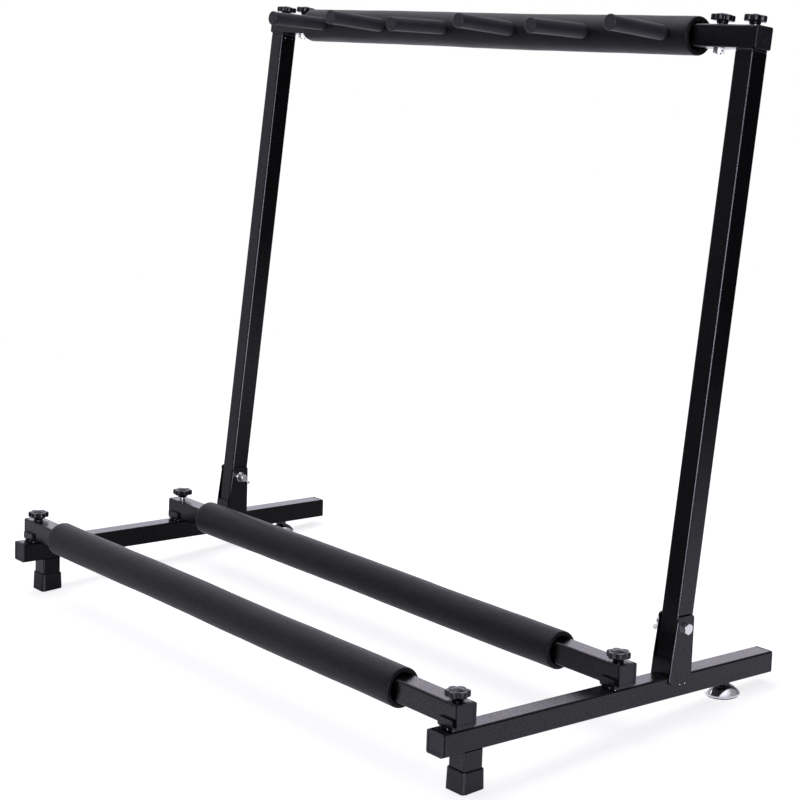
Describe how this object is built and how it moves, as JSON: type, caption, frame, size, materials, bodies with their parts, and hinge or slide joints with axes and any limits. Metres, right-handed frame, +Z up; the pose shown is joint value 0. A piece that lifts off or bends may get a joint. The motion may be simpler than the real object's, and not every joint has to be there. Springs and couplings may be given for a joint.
{
  "type": "multi guitar stand",
  "caption": "Folding floor rack of square steel tube for several guitars: padded lower bars and a leaning neck bar with rubber pegs.",
  "frame": {"origin": "on the floor, under the middle of the stand's outer box", "axes": "+X to the stand's right along the bars, +Y to the back, +Z up"},
  "size_m": [0.791, 0.4344, 0.6684],
  "materials": {
    "frame_paint": "black satin powder coat",
    "plug_plastic": "black moulded plastic",
    "foot_rubber": "black moulded rubber",
    "foam": "charcoal closed-cell foam",
    "peg_rubber": "black soft rubber",
    "zinc_steel": "bright zinc",
    "black_steel": "black oxide",
    "glide_chrome": "polished chrome",
    "glide_plastic": "black plastic",
    "knob_plastic": "black moulded plastic"
  },
  "bodies": {
    "base": {"left_rail": "frame_paint", "right_rail": "frame_paint", "left_foot_post": "frame_paint", "right_foot_post": "frame_paint", "left_saddles": "frame_paint", "right_saddles": "frame_paint", "left_upright_bracket": "frame_paint", "right_upright_bracket": "frame_paint", "front_bar": "frame_paint", "rear_bar": "frame_paint", "rail_plugs": "plug_plastic", "front_bar_plugs": "plug_plastic", "rear_bar_plugs": "plug_plastic", "left_foot_cap": "foot_rubber", "right_foot_cap": "foot_rubber", "front_bar_foam": "foam", "rear_bar_foam": "foam", "left_pivot_bolt": "zinc_steel", "right_pivot_bolt": "zinc_steel", "pivot_washers": "zinc_steel", "rail_knob_nuts": "zinc_steel", "rail_glide_nuts": "zinc_steel", "glide_stems": "black_steel"},
    "neck_frame": {"left_upright": "frame_paint", "right_upright": "frame_paint", "upright_plugs": "plug_plastic", "neck_knob_nuts": "zinc_steel", "neck_bar": "frame_paint", "neck_bar_plugs": "plug_plastic", "neck_bar_foam": "foam", "peg_rods": "zinc_steel", "neck_peg_1": "peg_rubber", "neck_peg_2": "peg_rubber", "neck_peg_3": "peg_rubber", "neck_peg_4": "peg_rubber", "neck_peg_5": "peg_rubber", "neck_peg_6": "peg_rubber"},
    "front_left_knob": {"front_left_knob": "knob_plastic", "front_left_knob_stud": "zinc_steel"},
    "front_right_knob": {"front_right_knob": "knob_plastic", "front_right_knob_stud": "zinc_steel"},
    "rear_left_knob": {"rear_left_knob": "knob_plastic", "rear_left_knob_stud": "zinc_steel"},
    "rear_right_knob": {"rear_right_knob": "knob_plastic", "rear_right_knob_stud": "zinc_steel"},
    "neck_left_outer_knob": {"neck_left_outer_knob": "knob_plastic", "neck_left_outer_knob_stud": "zinc_steel"},
    "neck_left_inner_knob": {"neck_left_inner_knob": "knob_plastic", "neck_left_inner_knob_stud": "zinc_steel"},
    "neck_right_outer_knob": {"neck_right_outer_knob": "knob_plastic", "neck_right_outer_knob_stud": "zinc_steel"},
    "neck_right_inner_knob": {"neck_right_inner_knob": "knob_plastic", "neck_right_inner_knob_stud": "zinc_steel"},
    "left_wing_nut": {"left_wing_nut": "zinc_steel"},
    "right_wing_nut": {"right_wing_nut": "zinc_steel"},
    "left_glide": {"left_glide_disc": "glide_chrome", "left_glide_pad": "glide_plastic"},
    "right_glide": {"right_glide_disc": "glide_chrome", "right_glide_pad": "glide_plastic"}
  },
  "joints": [
    {"name": "frame_fold", "type": "hinge", "parent": "base", "child": "neck_frame", "pos_m": [0, 0.08762, 0.08756], "axis": [1, 0, 0], "range_deg": [0, 92]},
    {"name": "front_left_knob_turn", "type": "hinge", "parent": "base", "child": "front_left_knob", "pos_m": [-0.378, -0.18913, 0.08456], "axis": [0, 0.0683, 0.9977], "continuous": true},
    {"name": "front_right_knob_turn", "type": "hinge", "parent": "base", "child": "front_right_knob", "pos_m": [0.378, -0.18913, 0.08456], "axis": [0, 0.0683, 0.9977], "continuous": true},
    {"name": "rear_left_knob_turn", "type": "hinge", "parent": "base", "child": "rear_left_knob", "pos_m": [-0.378, 0.00971, 0.07095], "axis": [0, 0.0683, 0.9977], "continuous": true},
    {"name": "rear_right_knob_turn", "type": "hinge", "parent": "base", "child": "rear_right_knob", "pos_m": [0.378, 0.00971, 0.07095], "axis": [0, 0.0683, 0.9977], "continuous": true},
    {"name": "neck_left_outer_knob_turn", "type": "hinge", "parent": "neck_frame", "child": "neck_left_outer_knob", "pos_m": [-0.378, 0.18922, 0.65474], "axis": [0, 0.1763, 0.9843], "continuous": true},
    {"name": "neck_left_inner_knob_turn", "type": "hinge", "parent": "neck_frame", "child": "neck_left_inner_knob", "pos_m": [-0.3375, 0.18922, 0.65474], "axis": [0, 0.1763, 0.9843], "continuous": true},
    {"name": "neck_right_outer_knob_turn", "type": "hinge", "parent": "neck_frame", "child": "neck_right_outer_knob", "pos_m": [0.378, 0.18922, 0.65474], "axis": [0, 0.1763, 0.9843], "continuous": true},
    {"name": "neck_right_inner_knob_turn", "type": "hinge", "parent": "neck_frame", "child": "neck_right_inner_knob", "pos_m": [0.3375, 0.18922, 0.65474], "axis": [0, 0.1763, 0.9843], "continuous": true},
    {"name": "left_wing_nut_turn", "type": "hinge", "parent": "base", "child": "left_wing_nut", "pos_m": [-0.3635, 0.08762, 0.08756], "axis": [1, 0, 0], "continuous": true},
    {"name": "right_wing_nut_turn", "type": "hinge", "parent": "base", "child": "right_wing_nut", "pos_m": [0.3635, 0.08762, 0.08756], "axis": [-1, 0, 0], "continuous": true},
    {"name": "left_glide_turn", "type": "hinge", "parent": "base", "child": "left_glide", "pos_m": [-0.378, 0.15487, 0.00686], "axis": [0, 0, 1], "continuous": true},
    {"name": "right_glide_turn", "type": "hinge", "parent": "base", "child": "right_glide", "pos_m": [0.378, 0.15487, 0.00686], "axis": [0, 0, 1], "continuous": true}
  ]
}
